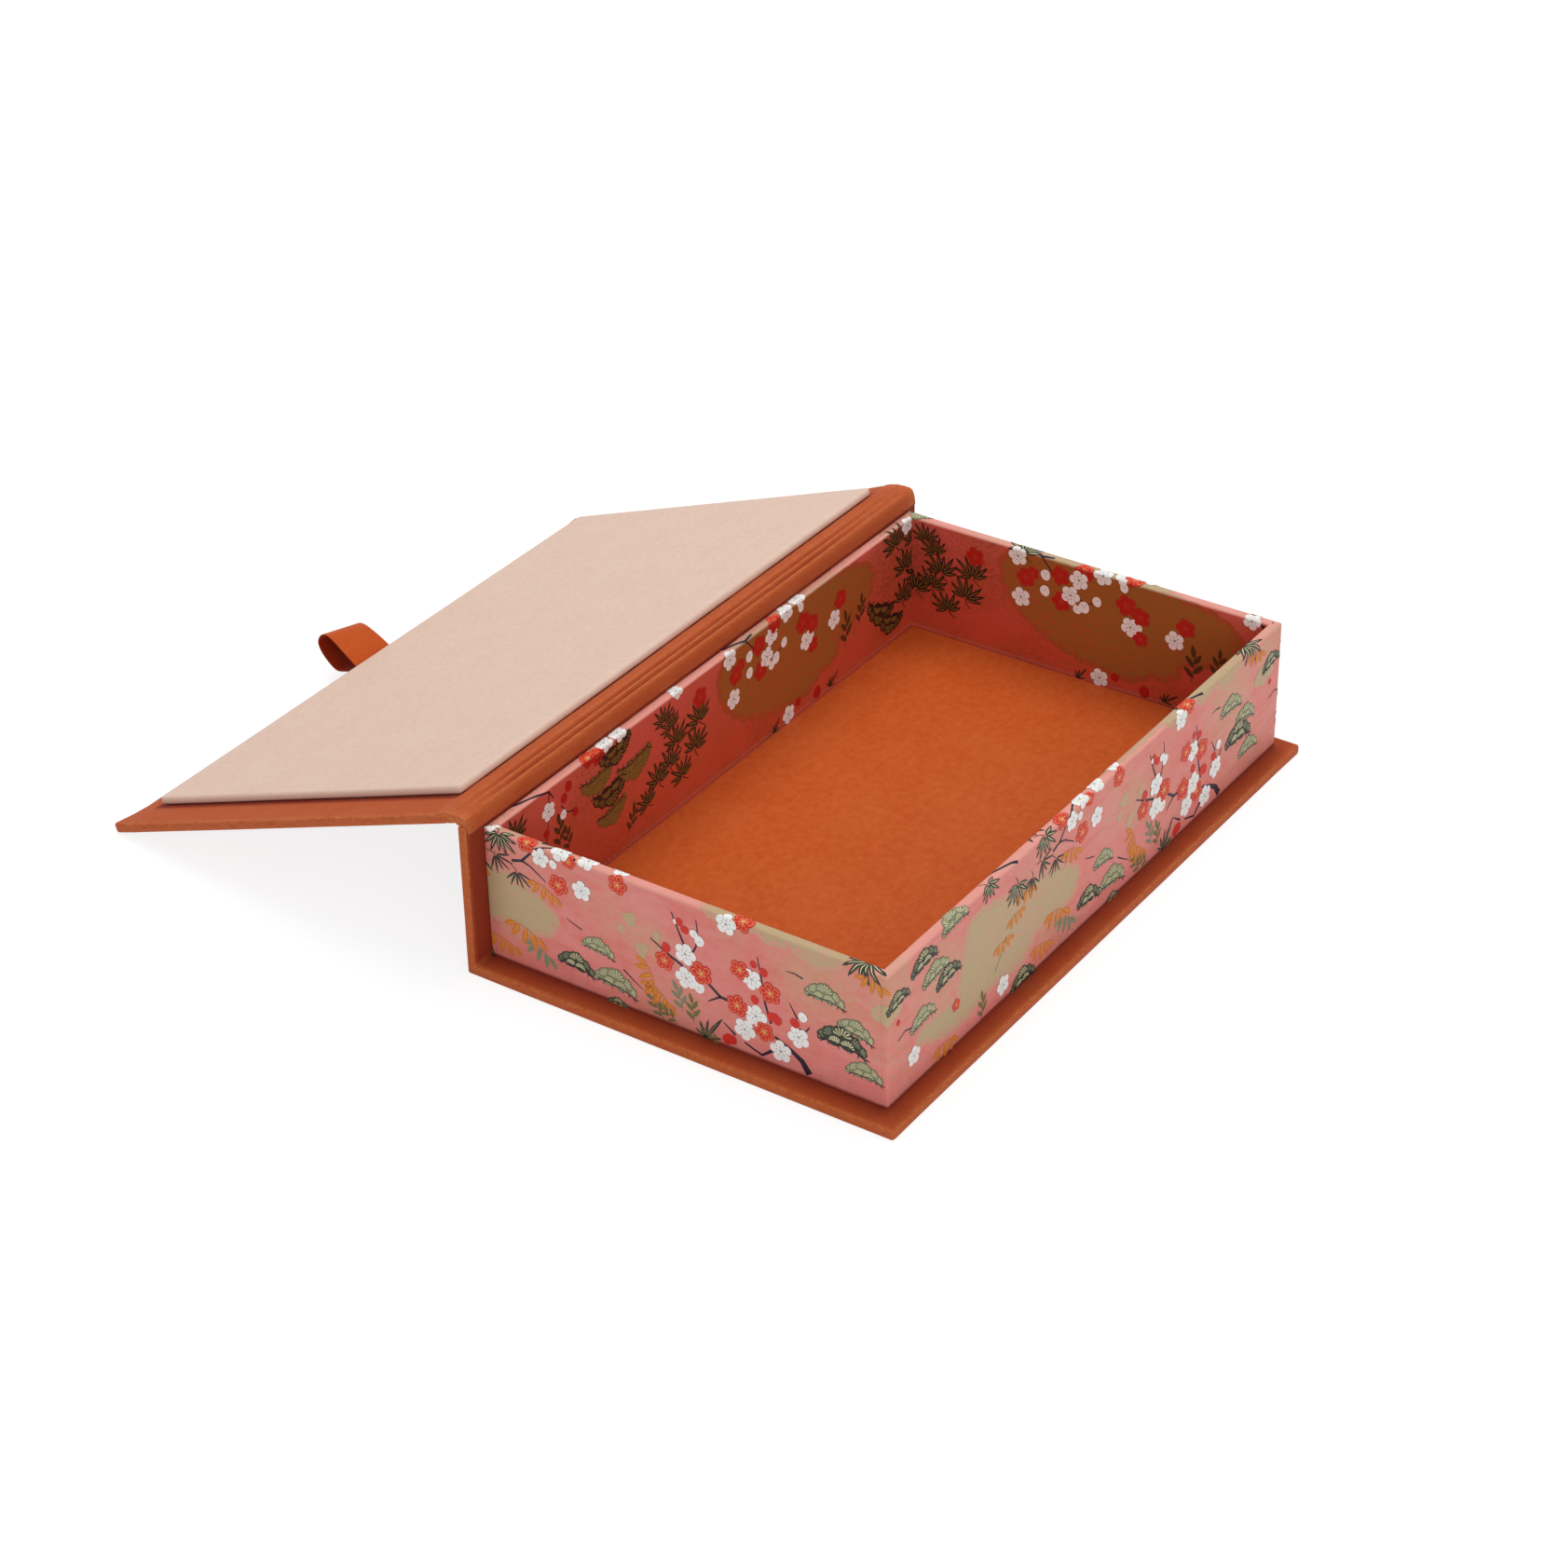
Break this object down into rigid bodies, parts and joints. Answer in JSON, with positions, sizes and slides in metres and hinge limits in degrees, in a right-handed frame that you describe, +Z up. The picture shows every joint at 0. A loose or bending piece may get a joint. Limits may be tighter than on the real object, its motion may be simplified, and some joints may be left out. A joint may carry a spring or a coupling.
{
  "type": "decorative paper box",
  "caption": "Book-style paper box: an open tray on a cloth-covered base, with a hinged lid that has a raised pad and a ribbon pull.",
  "frame": {"origin": "centre of the shut box's footprint, on the underside of the base", "axes": "+X along the hinge, to the right when the front faces the viewer; +Y from the front wall to the spine and the opened lid; +Z up"},
  "size_m": [0.217, 0.268, 0.0498],
  "materials": {
    "greyboard": "matte",
    "book_cloth": "matte",
    "printed_paper": "satin",
    "orange_paper": "matte",
    "cream_paper": "matte",
    "ribbon": "satin"
  },
  "bodies": {
    "case": {"base_board": "greyboard", "spine_board": "greyboard", "base_cloth": "book_cloth", "spine_cloth": "book_cloth", "spine_liner": "book_cloth", "tray_floor_board": "greyboard", "tray_front_board": "greyboard", "tray_back_board": "greyboard", "tray_near_board": "greyboard", "tray_far_board": "greyboard", "front_paper": "printed_paper", "back_paper": "printed_paper", "near_paper": "printed_paper", "far_paper": "printed_paper", "floor_card": "greyboard", "floor_paper": "orange_paper", "hinge_cloth": "book_cloth"},
    "lid": {"lid_board": "greyboard", "lid_cloth": "book_cloth", "lid_liner": "book_cloth", "pad_board": "greyboard", "pad_cover": "cream_paper", "ribbon_tail": "ribbon", "pull_loop": "ribbon"}
  },
  "joints": [
    {"name": "lid_hinge", "type": "hinge", "parent": "case", "child": "lid", "pos_m": [0, 0.067, 0.0471], "axis": [1, 0, 0], "range_deg": [0, 200.64], "deforming": ["hinge_cloth", "pull_loop"]}
  ]
}
